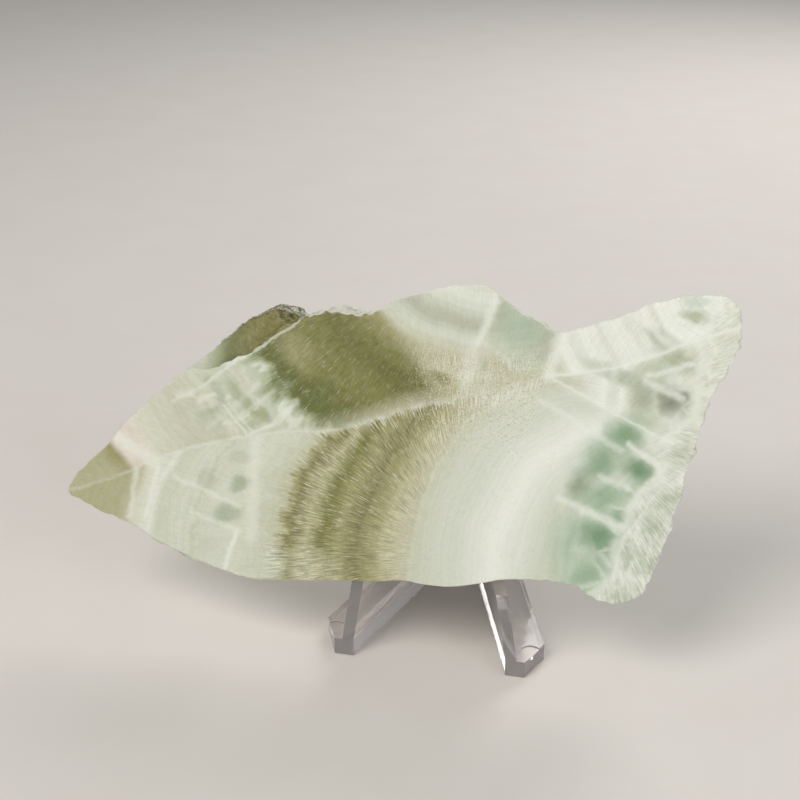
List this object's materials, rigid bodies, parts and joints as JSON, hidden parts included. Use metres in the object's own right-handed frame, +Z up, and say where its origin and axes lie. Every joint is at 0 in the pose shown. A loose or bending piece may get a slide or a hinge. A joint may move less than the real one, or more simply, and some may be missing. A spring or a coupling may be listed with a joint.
{
  "type": "aragonite slice",
  "caption": "Polished slice of banded green and white aragonite resting at a slant on a small clear plastic display easel.",
  "frame": {"origin": "middle of the whole object's bounding box, on the surface that the easel's feet stand on", "axes": "+Z up, +X along the slice towards its blunt end, -Y towards the polished face's front"},
  "size_m": [0.1502, 0.0608, 0.0859],
  "materials": {
    "aragonite": "polished face, rough natural rim",
    "clear_plastic": "clear, glossy"
  },
  "bodies": {
    "root": {"aragonite_slice": "aragonite", "easel_leg_left": "clear_plastic", "easel_leg_right": "clear_plastic"}
  },
  "joints": []
}
